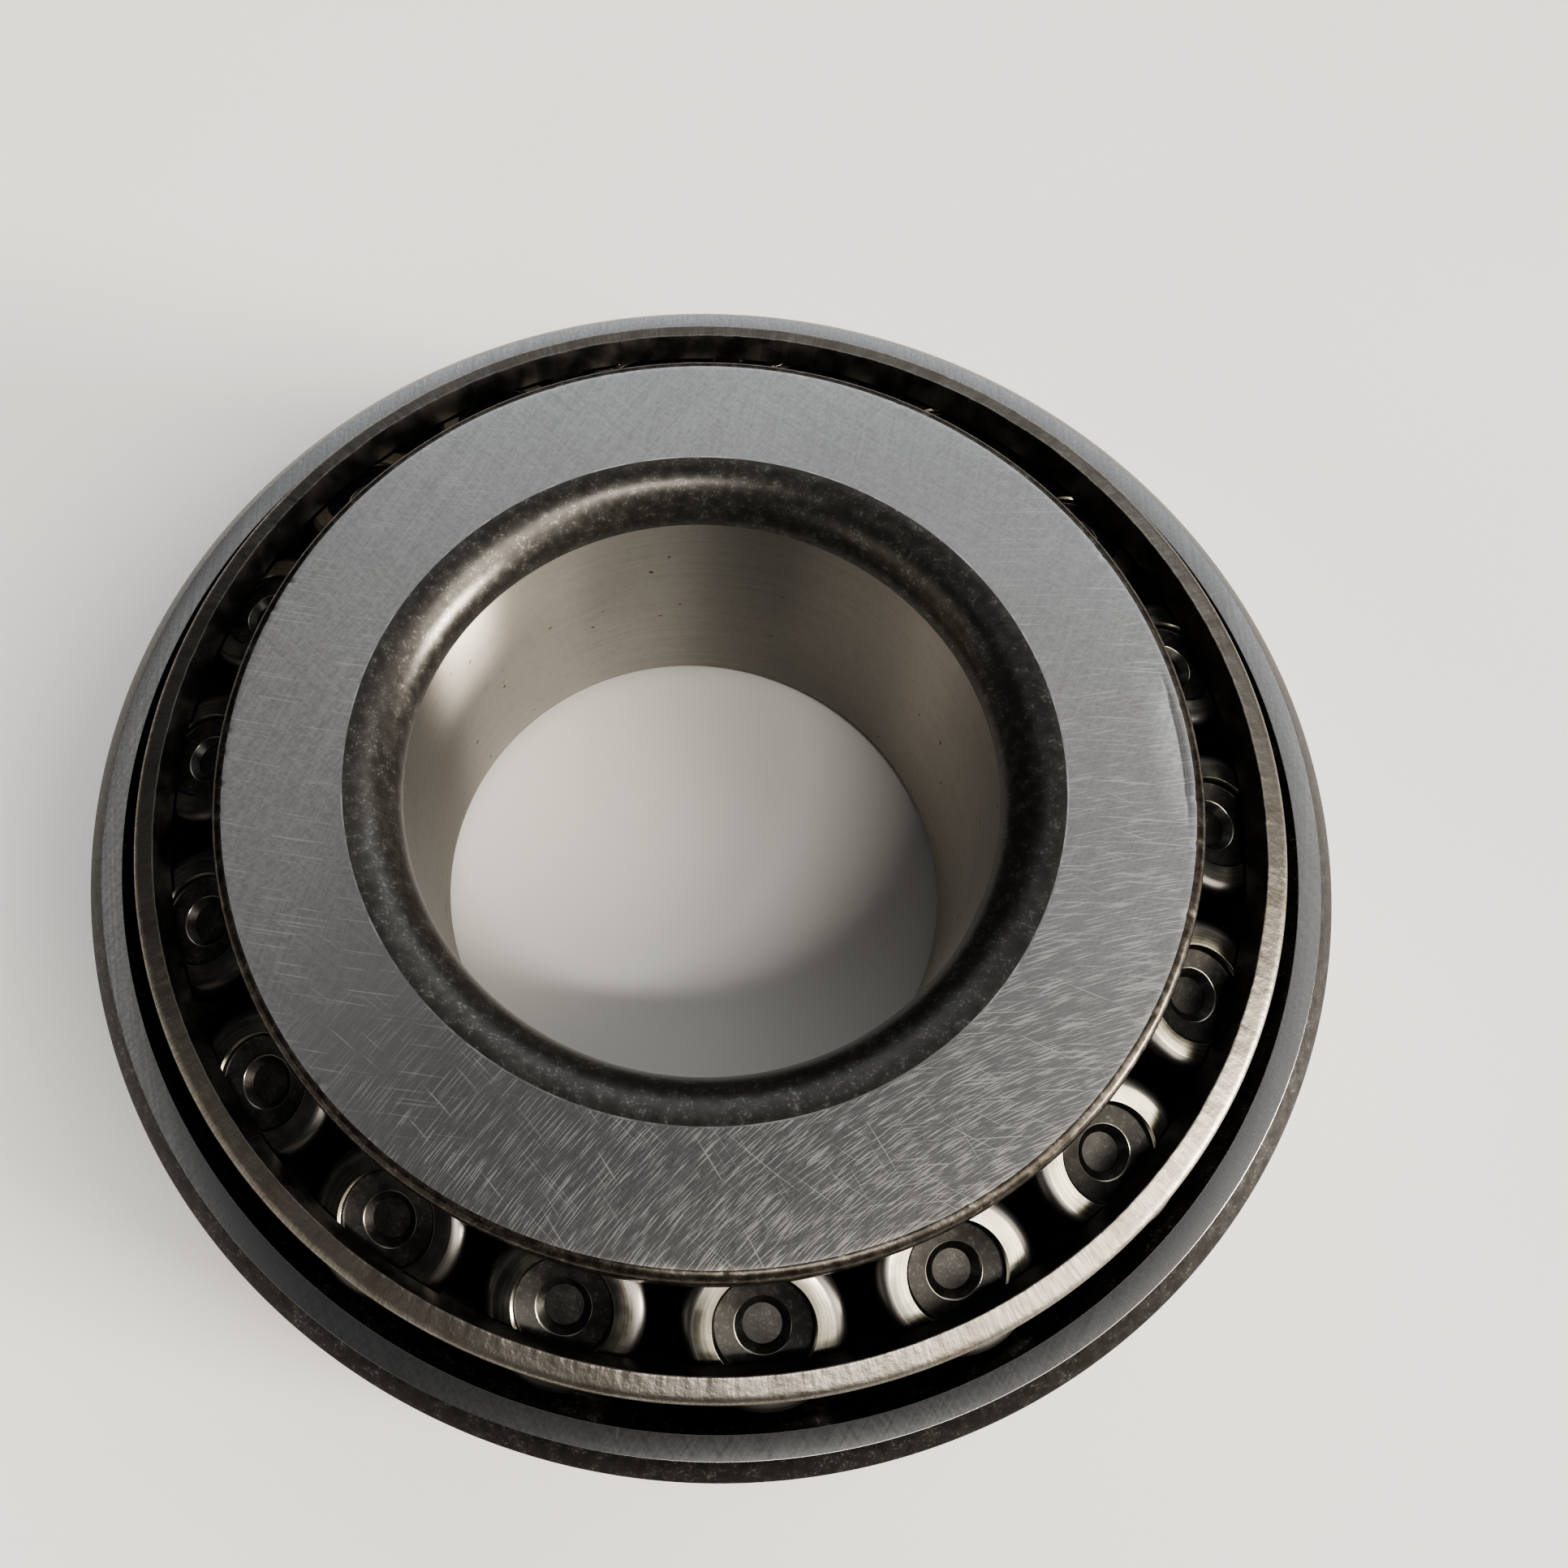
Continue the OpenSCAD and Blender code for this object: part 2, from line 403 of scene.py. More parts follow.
class Finish(Nodes):
    """A node material, with the patterns that these finishes share."""

    def __init__(self, name):
        self.material = bpy.data.materials.new(name)
        super().__init__(self.material)

    def point(self):
        """The point on the piece in its own frame, in millimetres."""
        return self.scaled(self.node("ShaderNodeTexCoord").outputs["Object"], 1 / MM)

    def noise(self, vector, scale, detail=2.0, roughness=0.5):
        inputs = {"Vector": vector, "Scale": scale, "Detail": detail, "Roughness": roughness}
        return self.node("ShaderNodeTexNoise", inputs).outputs["Fac"]

    def mix(self, factor, first, second):
        """The colour sockets of a Mix node are inputs 6 and 7 and output 2."""
        made = self.node("ShaderNodeMix", data_type="RGBA")
        for index, value in ((0, factor), (6, first), (7, second)):
            self.feed(made.inputs[index], value)
        return made.outputs[2]

    def rings(self, point, pitch, wander=0.25, detail=3.0):
        """Grain that runs round the axis: noise across r and z, hardly changing with the angle."""
        x, y, z = self.split(point)
        r = self.hypot(x, y)
        unit_x = self.math("MULTIPLY", self.math("DIVIDE", x, r), wander)
        unit_y = self.math("MULTIPLY", self.math("DIVIDE", y, r), wander)
        across = self.math("ADD", self.math("DIVIDE", r, pitch), self.math("DIVIDE", z, pitch))
        return self.noise(self.join(unit_x, unit_y, across), 1.0, detail, 0.6)

    def spokes(self, point, pitch, length):
        """Grain that runs square to the rings: fine round the axis, slow along r and z."""
        x, y, z = self.split(point)
        r = self.hypot(x, y)
        unit_x = self.math("DIVIDE", x, self.math("MULTIPLY", r, pitch))
        unit_y = self.math("DIVIDE", y, self.math("MULTIPLY", r, pitch))
        along = self.math("DIVIDE", self.math("ADD", r, z), length)
        return self.noise(self.join(unit_x, unit_y, along), 1.0, 2.0, 0.6)

    def arcs(self, point, towards, distance, pitch, length, detail=2.0):
        """Grain in long arcs round a far centre, at an angle in degrees and a distance from the axis."""
        back = self.math("SUBTRACT", distance, self.along(point, towards))
        side = self.along(point, towards + 90)
        r = self.hypot(back, side)
        turn = self.math("ARCTAN2", side, back)
        along = self.math("MULTIPLY", turn, distance / length)
        return self.noise(self.join(self.math("DIVIDE", r, pitch), along), 1.0, detail, 0.55)

    def bump(self, height, depth, strength=1.0, normal=None):
        """Relief of this depth in millimetres, where the height is 1."""
        made = self.node("ShaderNodeBump", {"Height": height, "Strength": strength})
        made.inputs["Distance"].default_value = depth * MM
        if normal:
            self.links.new(normal, made.inputs["Normal"])
        return made.outputs[0]

    def steel(self, colour, roughness, normal=None, metallic=1.0, anisotropic=0.0):
        """The surface shader. With anisotropic set, the grain runs round the piece's own axis."""
        inputs = {"Base Color": colour, "Roughness": roughness, "Metallic": metallic}
        if normal:
            inputs["Normal"] = normal
        if anisotropic:
            tangent = self.node("ShaderNodeTangent", direction_type="RADIAL", axis="Z")
            inputs.update({"Anisotropic": anisotropic, "Anisotropic Rotation": 0.25})
            inputs["Tangent"] = tangent.outputs[0]
        return self.node("ShaderNodeBsdfPrincipled", inputs).outputs[0]

    def done(self, shader):
        output = self.node("ShaderNodeOutputMaterial")
        self.links.new(shader, output.inputs["Surface"])
        return self.material


def tinted(colour, factor):
    return tuple(min(1.0, c * factor) for c in colour)


def scale_finish(name, light, dark, sparkle=1.0, gloss=0.26):
    """Dark scale left by heat treatment: mottled, grainy, with small worn places that shine."""
    f = Finish(name)
    point = f.point()
    mottle = f.noise(point, 1.1, 5.0, 0.62)
    cloud = f.noise(point, 0.22)
    grain = f.noise(point, 4.5, 3.0, 0.7)
    shade = f.math("ADD", f.math("MULTIPLY", mottle, 0.8), f.math("MULTIPLY", cloud, 0.2))
    colour = f.mix(f.shape(shade, 0.34, 0.68), dark, light)
    worn = f.math("MULTIPLY", grain, f.math("ADD", mottle, 0.5))
    flecks = f.shape(worn, 0.56, 0.72)
    colour = f.mix(f.math("MULTIPLY", flecks, 0.6 * sparkle), colour, (0.24, 0.24, 0.23))
    roughness = f.shape(mottle, 0.3, 0.7, gloss, gloss + 0.05)
    normal = f.bump(grain, 0.006 * sparkle, 0.9, f.bump(mottle, 0.010 * sparkle, 0.6))
    return f.done(f.steel(colour, roughness, normal, metallic=0.7))


def ground_shader(f, point, colour, roughness, arc_sets):
    """A face ground flat: a fine even grain, crossed by families of arcs.

    Each family is (towards, distance, pitch, length, weight). Returns colour, roughness, normal."""
    grain = f.math("MULTIPLY", f.noise(point, 3.0, 2.0, 0.6), 0.35)
    for towards, distance, pitch, length, weight in arc_sets:
        lines = f.arcs(point, towards, distance, pitch, length)
        grain = f.math("ADD", grain, f.math("MULTIPLY", lines, weight))
    tone = f.shape(grain, 0.36, 0.64)
    blotch = f.noise(point, 0.09, 3.0, 0.6)
    shade = f.mix(tone, tinted(colour, 0.84), tinted(colour, 1.12))
    shade = f.mix(f.shape(blotch, 0.35, 0.65, 0.0, 0.14), shade, tinted(colour, 0.7))
    rough = f.math("ADD", roughness, f.math("MULTIPLY", f.math("SUBTRACT", 0.5, tone), 0.06))
    return shade, rough, f.bump(grain, 0.003, 0.8)


def back_face_finish():
    """The inner ring's back face: fine grinding all over, and handling scratches, painted bright as glints on the
    sides where they catch the light.
    """
    f = Finish("back_face_ground")
    point = f.point()
    arc_sets = ((-20, 95, 0.16, 14, 0.25), (150, 80, 0.14, 12, 0.20), (60, 140, 0.22, 20, 0.20))
    shade, rough, normal = ground_shader(f, point, (0.395, 0.392, 0.39), 0.31, arc_sets)
    # Scratches, real but painted bright as glints only on the sides where they catch the light: the direction from
    # the axis where a family lies, its arcs as (towards, distance, pitch, length), and the noise level above which
    # a scratch shows.
    scratch_glint_families = (
        (-75, (-54, 86, 0.09, 3.5), 0.54),
        (-35, (-58, 95, 0.11, 4), 0.56),
        (-10, (-74, 120, 0.14, 7), 0.60),
        (-50, (28, 44, 0.16, 9), 0.66),
        (-95, (-128, 90, 0.16, 9), 0.66),
        (180, (90, 300, 0.15, 6), 0.61),
    )
    total = 0.0
    for where, arcs, level in scratch_glint_families:
        lines = f.arcs(point, *arcs, detail=1.0)
        on_glinting_side = f.shape(f.along(point, where), 4.0, 30.0)
        part = f.math("MULTIPLY", f.shape(lines, level, level + 0.12), on_glinting_side)
        total = f.math("ADD", total, part, clamp=True)
    # Painted highlight: the scratches' glint is painted in as a pale colour.
    shade = f.mix(f.math("MULTIPLY", total, 0.28), shade, (0.80, 0.79, 0.77))
    rough = f.math("ADD", rough, f.math("MULTIPLY", total, 0.09))
    return f.done(f.steel(shade, rough, normal))


def worn_edge_and_highlight_finish():
    """A thin edge between ground and scaled metal, rubbed bright in places: partly real wear, partly a painted
    highlight.
    """
    f = Finish("worn_edge_and_highlight")
    point = f.point()
    patch = f.noise(point, 0.35, 4.0, 0.65)
    # The bright patches are partly painted highlight.
    colour = f.mix(f.shape(patch, 0.44, 0.62), (0.36, 0.357, 0.35), (0.58, 0.57, 0.56))
    return f.done(f.steel(colour, 0.34, f.bump(f.noise(point, 3.0), 0.02, 0.7)))


def bore_finish():
    """The bore: honed round the axis, satin and warm, with small dark specks."""
    f = Finish("bore_honed")
    point = f.point()
    lines = f.rings(point, 0.12, 1.5, 2.0)
    soft = f.noise(point, 0.10)
    fine = f.noise(point, 1.2, 3.0, 0.6)
    colour = f.mix(f.shape(lines, 0.3, 0.7), (0.33, 0.316, 0.288), (0.37, 0.355, 0.325))
    colour = f.mix(f.shape(fine, 0.45, 0.75, 0.0, 0.22), colour, (0.24, 0.225, 0.20))
    specks = f.shape(f.noise(point, 1.0, 1.0, 0.3), 0.765, 0.79)
    colour = f.mix(specks, colour, (0.10, 0.08, 0.06))
    roughness = f.shape(soft, 0.3, 0.7, 0.39, 0.42)
    normal = f.bump(lines, 0.0006, 0.3)
    return f.done(f.steel(colour, roughness, normal, anisotropic=1.0))


def race_finish(name, colour, roughness):
    """A raceway or roller flank: fine ground, with faint lines round its axis."""
    f = Finish(name)
    point = f.point()
    lines = f.rings(point, 0.15, 0.4)
    shade = f.mix(f.shape(lines, 0.3, 0.7), tinted(colour, 0.82), colour)
    rough = f.shape(f.noise(point, 0.3), 0.3, 0.7, roughness, roughness + 0.08)
    return f.done(f.steel(shade, rough, f.bump(lines, 0.001, 0.5), anisotropic=0.5))


def cup_face_finish():
    """The rings' narrow ground faces: grey, with fine scratches that run across them."""
    f = Finish("cup_face_ground")
    point = f.point()
    arc_sets = ((15, 120, 0.20, 16, 0.3), (170, 100, 0.16, 14, 0.3))
    shade, rough, normal = ground_shader(f, point, (0.36, 0.36, 0.36), 0.25, arc_sets)
    nicks = f.shape(f.spokes(point, 0.004, 6.0), 0.72, 0.80)
    shade = f.mix(f.math("MULTIPLY", nicks, 0.5), shade, (0.62, 0.62, 0.62))
    return f.done(f.steel(shade, rough, normal))


def cup_side_finish():
    """The outer ring's ground outside: fine lines round the axis and small stains."""
    f = Finish("cup_side_ground")
    point = f.point()
    lines = f.rings(point, 0.25, 0.5)
    stain = f.noise(point, 0.3, 4.0, 0.6)
    colour = f.mix(f.shape(lines, 0.3, 0.7), (0.29, 0.288, 0.285), (0.36, 0.358, 0.355))
    colour = f.mix(f.shape(stain, 0.5, 0.8, 0.0, 0.3), colour, (0.18, 0.165, 0.15))
    roughness = f.shape(stain, 0.3, 0.7, 0.28, 0.40)
    return f.done(f.steel(colour, roughness, f.bump(lines, 0.002, 0.6), anisotropic=0.6))


def cage_skin_finish():
    """The cage's pressed sheet: dull, slightly mottled, drawn along the cone."""
    f = Finish("cage_sheet")
    point = f.point()
    drawn = f.spokes(point, 0.010, 7.0)
    cloud = f.noise(point, 0.35, 4.0, 0.6)
    colour = f.mix(f.shape(cloud, 0.35, 0.65), (0.09, 0.085, 0.08), (0.17, 0.16, 0.15))
    colour = f.mix(f.shape(drawn, 0.60, 0.78, 0.0, 0.3), colour, (0.28, 0.27, 0.26))
    roughness = f.shape(cloud, 0.3, 0.7, 0.40, 0.52)
    normal = f.bump(cloud, 0.02, 0.6, f.bump(drawn, 0.004, 0.5))
    return f.done(f.steel(colour, roughness, normal))


def cage_cut_finish():
    """The cage's sheared rim: bright torn metal, marked across the sheet."""
    f = Finish("cage_cut_rim")
    point = f.point()
    teeth = f.spokes(point, 0.0035, 1.2)
    tone = f.spokes(point, 0.05, 9.0)
    dents = f.noise(point, 1.4, 3.0, 0.6)
    colour = f.mix(f.shape(teeth, 0.34, 0.66), (0.21, 0.195, 0.175), (0.28, 0.265, 0.24))
    colour = f.mix(f.shape(tone, 0.45, 0.7, 0.0, 0.5), colour, (0.17, 0.15, 0.13))
    roughness = f.shape(teeth, 0.3, 0.7, 0.44, 0.36)
    return f.done(f.steel(colour, roughness, f.bump(teeth, 0.006, 0.8, f.bump(dents, 0.06, 0.8))))


def roller_end_finish():
    """The ground end of a roller: fine rings round the roller's axis."""
    f = Finish("roller_end_ground")
    point = f.point()
    lines = f.rings(point, 0.13, 0.5)
    patch = f.noise(point, 0.5, 3.0)
    colour = f.mix(f.shape(lines, 0.3, 0.7), (0.22, 0.21, 0.18), (0.32, 0.31, 0.262))
    colour = f.mix(f.shape(patch, 0.45, 0.7, 0.0, 0.5), colour, (0.15, 0.145, 0.13))
    roughness = f.shape(patch, 0.3, 0.7, 0.18, 0.28)
    return f.done(f.steel(colour, roughness, f.bump(lines, 0.002, 0.6, f.bump(patch, 0.02, 0.5))))


# The finish of each zone that the profiles below name.
finishes = {
    "face": back_face_finish(),
    "scale": scale_finish("bore_corner_scale", (0.095, 0.092, 0.087), (0.064, 0.061, 0.057), gloss=0.29),
    # worn: a rubbed edge whose bright patches are partly painted highlight.
    "worn": worn_edge_and_highlight_finish(),
    "rim": scale_finish("rib_corner_scale", (0.085, 0.075, 0.064), (0.03, 0.026, 0.022), 0.6),
    "bore": bore_finish(),
    "race": race_finish("raceway_ground", (0.50, 0.50, 0.50), 0.20),
    "cup_face": cup_face_finish(),
    "cup_side": cup_side_finish(),
    # Dark scale on the outer ring's corners and bevels, made near black as painted shade.
    "cup_scale_and_shade": scale_finish("cup_corner_scale_and_shade", (0.032, 0.029, 0.027), (0.014, 0.012, 0.011), 0.6),
    "cage_skin": cage_skin_finish(),
    "cage_cut": cage_cut_finish(),
    "end": roller_end_finish(),
    "corner": race_finish("roller_corner_turned", (0.16, 0.155, 0.15), 0.34),
    "flank": race_finish("roller_flank_ground", (0.62, 0.61, 0.60), 0.18),
    "recess": scale_finish("roller_recess_scale", (0.060, 0.058, 0.055), (0.036, 0.034, 0.032), 0.3, 0.38),
}


# ---- Outer ring ----
def outer_ring():
    front_r = outer_race_r(outer_top - cup_front_bevel)
    back_r = outer_race_r(outer_bottom + cup_back_bevel)
    # The corners and bevels take scale that is partly painted shade, near black.
    corners = [
        (back_r, outer_bottom + cup_back_bevel, race_edge_r, "race", "cup_scale_and_shade"),
        (back_r + cup_back_bevel, outer_bottom, broken_edge_r, "cup_face", "cup_face"),
        (outer_r, outer_bottom, cup_back_corner_r, "cup_scale_and_shade", "cup_side"),
        (outer_r, outer_top - cup_front_chamfer, chamfer_edge_r, "cup_scale_and_shade", "cup_scale_and_shade"),
        (outer_r - cup_front_chamfer, outer_top, broken_edge_r, "cup_face", "cup_face"),
        (front_r + cup_front_bevel, outer_top, broken_edge_r, "cup_face", "cup_scale_and_shade"),
        (front_r, outer_top - cup_front_bevel, race_edge_r, "race", "race"),
    ]
    made = turned("cup_turned", rounded_profile(corners), ring_columns)
    hand_in(made, "outer_ring")


# ---- Inner ring ----
def inner_ring_profile():
    """Round the section from the back face's turned line, by the bore, the front rib and the raceway."""
    front_z = end_face_z(front_rib_r, -roller_len - front_rib_gap)
    rib_z = end_face_z(rib_r, rib_gap)
    race_top = race_meets_face(rib_gap)
    race_bottom = race_meets_face(-roller_len - front_rib_gap)
    groove = [(groove_r + k * groove_half_width, inner_top, 0, "face", "face") for k in (2, 1, 0, -1, -2)]
    corners = groove + [
        (bore_r + bore_corner_r + worn_width, inner_top, 0, "worn", "worn"),
        (bore_r, inner_top, bore_corner_r, "scale", "bore"),
        (bore_r, inner_bottom + edge_bevel, turned_edge_r, "bore", "bore"),
        (bore_r + edge_bevel, inner_bottom, turned_edge_r, "cup_face", "cup_face"),
        (front_rib_r - edge_bevel, inner_bottom, turned_edge_r, "cup_face", "rim"),
        (front_rib_r, inner_bottom + edge_bevel, turned_edge_r, "rim", "cup_side"),
        (front_rib_r, front_z, turned_edge_r, "race", "race"),
        (*race_bottom, undercut_r, "scale", "race"),
        (*race_top, undercut_r, "scale", "race"),
        (rib_r, rib_z, turned_edge_r, "race", "rim"),
        (rib_r, inner_top, rib_corner_r, "rim", "face"),
    ]
    return split_long_sides(*rounded_profile(corners), longest_strip)


def inner_ring():
    points, zones = inner_ring_profile()
    row_r = np.array([p[0] for p in points])
    row_z = np.array([p[1] for p in points])
    nicks = random_places(random.Random(11), nick_count)

    def share_near(r, reach):
        """How strongly each row takes a dent in the back face at this radius."""
        away = np.hypot(row_r - r, row_z - inner_top)
        return np.exp(-((away / reach) ** 2))[:, None]

    def dent(radii, heights, angles):
        """Nicks where the back face meets the rib's corner, and a turned line part of the way round."""
        nick = share_near(rib_r - 0.8 * rib_corner_r, nick_reach) * bump_along(angles, nicks, nick_angle)
        heights -= nick_depth * nick
        radii -= nick_depth * nick / 2
        turn = turned_away(angles, 0)
        inside = np.clip(np.minimum(turn - groove_from, groove_to - turn) / groove_fade, 0, 1)
        heights -= groove_depth * share_near(groove_r, groove_half_width) * inside

    made = turned("cone_turned", (points, zones), ring_columns, shape=dent)
    hand_in(made, "inner_ring")


# ---- Cage ----
def window_half_turn(x, y):
    """Angle from a window's middle to its side, where the sheet's section passes (x, y)."""
    r, z = in_section(x, y)
    target = roller_large_r + y * math.tan(half_angle) + window_gap / math.cos(half_angle)
    low, high = 0.0, pitch_angle / 2
    halvings = 40
    for _ in range(halvings):
        middle = (low + high) / 2
        out = r * math.cos(middle) - pitch_r
        x_here = out * math.cos(tilt) - (z - pitch_z) * math.sin(tilt)
        reach = r * math.sin(middle) * math.cos(window_angle) + x_here * math.sin(window_angle)
        low, high = (middle, high) if reach < target else (low, middle)
    return (low + high) / 2


def arc_rows(centre_x, centre_y, radius, start, end, steps, zone):
    """Rows of the sheet's section along an arc, from one angle in degrees to another."""
    turns = [math.radians(start + (end - start) * k / steps) for k in range(steps + 1)]
    return [(centre_x + radius * math.cos(a), centre_y + radius * math.sin(a), zone) for a in turns]


def flange_edge_x(y):
    """Where the flange ends, at its round opening."""
    return (flange_r - pitch_r - y * math.sin(tilt)) / math.cos(tilt)


def cage_profile():
    """Rows round the sheet's section, as (x, y, zone of the strip that leaves it).

    Windows open between the first rows, which climb down the wall's inner side, and as many rows
    that climb its outer side. Returns the rows, the first of the outer ones, and how many there are."""
    steps = 8
    levels = [window_top + (window_bottom - window_top) * k / steps for k in range(steps + 1)]
    flange_top = -roller_len - flange_gap
    flange_bottom = flange_top - sheet
    outer_bend_r = bend_r + sheet
    rows = [(wall_offset, y, "cage_skin") for y in levels]
    rows += arc_rows(wall_offset - bend_r, flange_top + bend_r, bend_r, 0, -90, 4, "cage_skin")
    rows.append((flange_edge_x(flange_top), flange_top, "cage_cut"))
    rows.append((flange_edge_x(flange_bottom), flange_bottom, "cage_skin"))
    centre_x, centre_y = wall_out - outer_bend_r, flange_bottom + outer_bend_r
    rows += arc_rows(centre_x, centre_y, outer_bend_r, -90, 0, 8, "cage_skin")
    outer_start = len(rows)
    rows += [(wall_out, y, "cage_skin") for y in reversed(levels)]
    centre_x, centre_y = wall_out - rim_outer_round, overhang - rim_outer_round
    rows += arc_rows(centre_x, centre_y, rim_outer_round, 0, 90, 6, "cage_cut")
    width = centre_x - wall_offset - rim_inner_round
    rows += [(centre_x - width * k / steps, overhang, "cage_cut") for k in range(1, steps + 1)]
    centre_x, centre_y = wall_offset + rim_inner_round, overhang - rim_inner_round
    rows += arc_rows(centre_x, centre_y, rim_inner_round, 90, 180, 3, "cage_skin")[1:]
    return rows, outer_start, len(levels)


def column_angles(x, y):
    """Angles of the mesh's columns in one row: on the windows' sides there, but even at the rim."""
    side = wall_offset if x < (wall_offset + wall_out) / 2 else wall_out
    half = window_half_turn(side, min(max(y, window_bottom), window_top))
    even_half = pitch_angle * columns_in_window / columns_per_pitch / 2
    haste = 1.3
    leave = min(1.0, haste * max(0.0, y - window_top) / (overhang - window_top))
    half += (even_half - half) * leave
    part = np.arange(columns_per_pitch)
    in_window = -half + 2 * half * part / columns_in_window
    in_bar = half + (pitch_angle - 2 * half) * (part - columns_in_window) / columns_in_bar
    one_pitch = np.where(part < columns_in_window, in_window, in_bar)
    return np.concatenate([one_pitch + k * pitch_angle for k in range(len(roller_names))])


def rim_unevenness():
    """Round the sheared rim, for each column: its short torn teeth, and its long low waves."""
    rng = random.Random(23)

    def draws(count):
        return np.array([rng.uniform(-1, 1) for _ in range(count)])

    columns = np.arange(cage_columns)
    fine = draws(cage_columns)
    coarse = draws(cage_columns // columns_per_coarse_tooth)
    broad = draws(len(roller_names) * waves_per_pitch)
    coarse_columns = np.arange(len(coarse)) * columns_per_coarse_tooth
    teeth = fine_share * fine + coarse_share * np.interp(columns, coarse_columns, coarse)
    around = columns / cage_columns * len(broad)
    waves = np.interp(around, np.arange(len(broad) + 1), np.append(broad, broad[0]))
    return teeth, waves


def cage_grid(rows):
    """The point of each row and column, with the rim's unevenness along the sheet."""
    teeth, waves = rim_unevenness()
    grid = np.zeros((len(rows), cage_columns, 3))
    for i, (x, y, _) in enumerate(rows):
        on_rim = max(0.0, (y - (overhang - rim_band)) / rim_band)
        torn = max(0.0, 1 - (x - wall_offset) / (torn_share * sheet))
        rise = on_rim * (tooth_height * torn * teeth + wave_height * waves - rim_drop)
        angles = column_angles(x, y)
        r, z = in_section(x, y)
        grid[i, :, 0] = (r + rise * math.sin(tilt)) * np.cos(angles)
        grid[i, :, 1] = (r + rise * math.sin(tilt)) * np.sin(angles)
        grid[i, :, 2] = z + rise * math.cos(tilt)
    return grid


def cage_faces(rows, outer_start, level_count):
    """The sheet's faces and their zones: no wall in a window, but its four cut sides."""
    faces, zones = [], []

    def add(corners, zone):
        faces.append(tuple(row * cage_columns + column % cage_columns for row, column in corners))
        zones.append(zone)

    def strip(row, following, zone, first, count):
        for k in range(first, first + count):
            add(((row, k), (row, k + 1), (following, k + 1), (following, k)), zone)

    outer_end = outer_start + level_count - 1
    starts = range(0, cage_columns, columns_per_pitch)
    for row, (_, _, zone) in enumerate(rows):
        following = (row + 1) % len(rows)
        in_wall = row < level_count - 1 or outer_start <= row < outer_end
        for start in starts:
            if not in_wall:
                strip(row, following, zone, start, columns_in_window)
            strip(row, following, zone, start + columns_in_window, columns_in_bar)
    for start in starts:
        strip(outer_end, 0, "cage_skin", start, columns_in_window)
        strip(level_count - 1, outer_start, "cage_skin", start, columns_in_window)
        for k in range(level_count - 1):
            for edge, step in ((start, 1), (start + columns_in_window, -1)):
                side = ((k, edge), (k + 1, edge), (outer_end - k - 1, edge), (outer_end - k, edge))
                add(side[::step], "cage_skin")
    return faces, zones


def cage():
    rows, outer_start, level_count = cage_profile()
    faces, zones = cage_faces(rows, outer_start, level_count)
    made = mesh_object("cage_pressed", cage_grid(rows).reshape(-1, 3), faces, zones)
    hand_in(made, "cage")


# ---- Rollers ----
def roller_profile():
    """From the middle of the large end, out over the edge, down the flank and in to the small end."""
    dish_depth = recess_depth + dish_drop
    pit_depth = dish_depth + pit_drop
    small_depth, small_floor_r = small_recess_depth, small_recess_r - small_recess_depth
    corners = [
        (pit_r, -pit_depth, pit_corner_r, "recess", "recess"),
        # The dish's rounded edge takes the lighter ground end finish: its lighter colour all round is a painted
        # highlight.
        (dish_r, -dish_depth, dish_corner_r, "end", "recess"),
        (recess_r, -recess_depth, recess_corner_r, "recess", "recess"),
        (recess_r, -recess_rim, rim_foot_r, "end", "end"),
        (recess_r + recess_rim, 0.0, rim_edge_r, "end", "end"),
        (roller_large_r, -end_rise, roller_corner_r, "corner", "flank"),
        (roller_small_r, -roller_len, roller_corner_r, "corner", "end"),
        (small_recess_r, -roller_len, small_recess_corner_r, "recess", "recess"),
        (small_floor_r, -roller_len + small_depth, small_recess_corner_r, "recess", "recess"),
    ]
    return rounded_profile(corners, 4)


def roller(name):
    joint = joints[name + "_spin"]
    made = turned(name + "_turned", roller_profile(), roller_columns, closed=False)
    axis = Vector(joint["axis"]).normalized()
    turn = Matrix.Rotation(math.atan2(axis.y, axis.x), 4, "Z") @ Matrix.Rotation(tilt, 4, "Y")
    made.matrix_world = Matrix.Translation(Vector(joint["pos_m"])) @ turn
    hand_in(made, name)


# ---- Stage, light and camera ----
BACKDROP = (0.78, 0.775, 0.765)
AMBIENT = (0.04, 0.042, 0.046)
WARM, NEUTRAL, COOL = (1.0, 0.93, 0.82), (1.0, 0.98, 0.95), (0.93, 0.965, 1.0)


def paper():
    """Off-white paper under the bearing, big enough to fill the view."""
    half = 60 * outer_r * MM
    f = Finish("paper")
    point = f.point()
    fibre = f.noise(point, 1.6, 4.0, 0.6)
    cloud = f.noise(point, 0.012)
    colour = f.mix(f.shape(cloud, 0.3, 0.7), (0.88, 0.87, 0.86), (0.91, 0.90, 0.89))
    inputs = {"Base Color": colour, "Roughness": 0.75, "Normal": f.bump(fibre, 0.02, 0.4)}
    material = f.done(f.node("ShaderNodeBsdfPrincipled", inputs).outputs[0])
    mesh = bpy.data.meshes.new("paper")
    corners = [(-half, -half), (half, -half), (half, half), (-half, half)]
    mesh.from_pydata([(x, y, cad_low.z) for x, y in corners], [], [(0, 1, 2, 3)])
    mesh.materials.append(material)
    floor = bpy.data.objects.new("paper", mesh)
    bpy.context.scene.collection.objects.link(floor)


